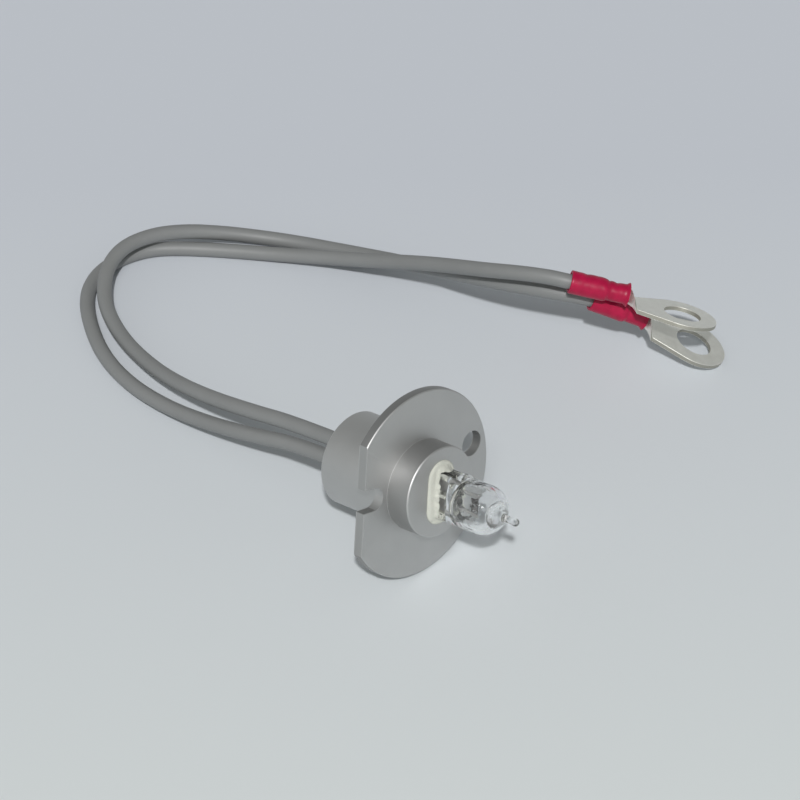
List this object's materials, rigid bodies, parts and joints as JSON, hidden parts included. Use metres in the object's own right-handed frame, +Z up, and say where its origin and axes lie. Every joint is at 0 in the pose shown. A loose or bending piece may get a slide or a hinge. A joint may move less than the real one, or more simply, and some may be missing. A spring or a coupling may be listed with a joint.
{
  "type": "analyzer halogen lamp",
  "caption": "Prefocused halogen capsule lamp cemented in a flanged aluminium holder, with a locating slot and screw hole in the flange and two grey leads that end in ring terminals.",
  "frame": {"origin": "on the lamp's axis at the flange's front face, where the spigot starts", "axes": "+X is level and points the way the bulb points, +Z is up from the table on which the lamp lies; the lamp's axis rises 9 degrees from +X"},
  "size_m": [0.1171, 0.0933, 0.0319],
  "materials": {
    "turned_aluminium": "satin, fine turned",
    "ceramic_cement": "matt, grainy",
    "quartz_glass": "clear, polished",
    "molybdenum": "dull dark grey",
    "tungsten": "drawn, grey",
    "nickel_pin": "drawn, grey",
    "grey_jacket": "satin, extruded",
    "tinned_strand": "tinned strands",
    "tinned_copper": "satin tin plate",
    "red_sleeve": "soft vinyl, satin",
    "splice_brass": "dull",
    "glass_fibre_sleeve": "braided",
    "rear_potting": "matt"
  },
  "bodies": {
    "root": {"holder_body": "turned_aluminium", "cement_potting": "ceramic_cement", "glass_envelope": "quartz_glass", "filament_coil": "tungsten", "rear_plug": "rear_potting", "foil_a": "molybdenum", "filament_post_a": "molybdenum", "pin_a": "nickel_pin", "splice_a": "splice_brass", "splice_sleeve_a": "glass_fibre_sleeve", "wire_a": "grey_jacket", "conductor_a": "tinned_strand", "terminal_a": "tinned_copper", "terminal_sleeve_a": "red_sleeve", "foil_b": "molybdenum", "filament_post_b": "molybdenum", "pin_b": "nickel_pin", "splice_b": "splice_brass", "splice_sleeve_b": "glass_fibre_sleeve", "wire_b": "grey_jacket", "conductor_b": "tinned_strand", "terminal_b": "tinned_copper", "terminal_sleeve_b": "red_sleeve"}
  },
  "joints": []
}
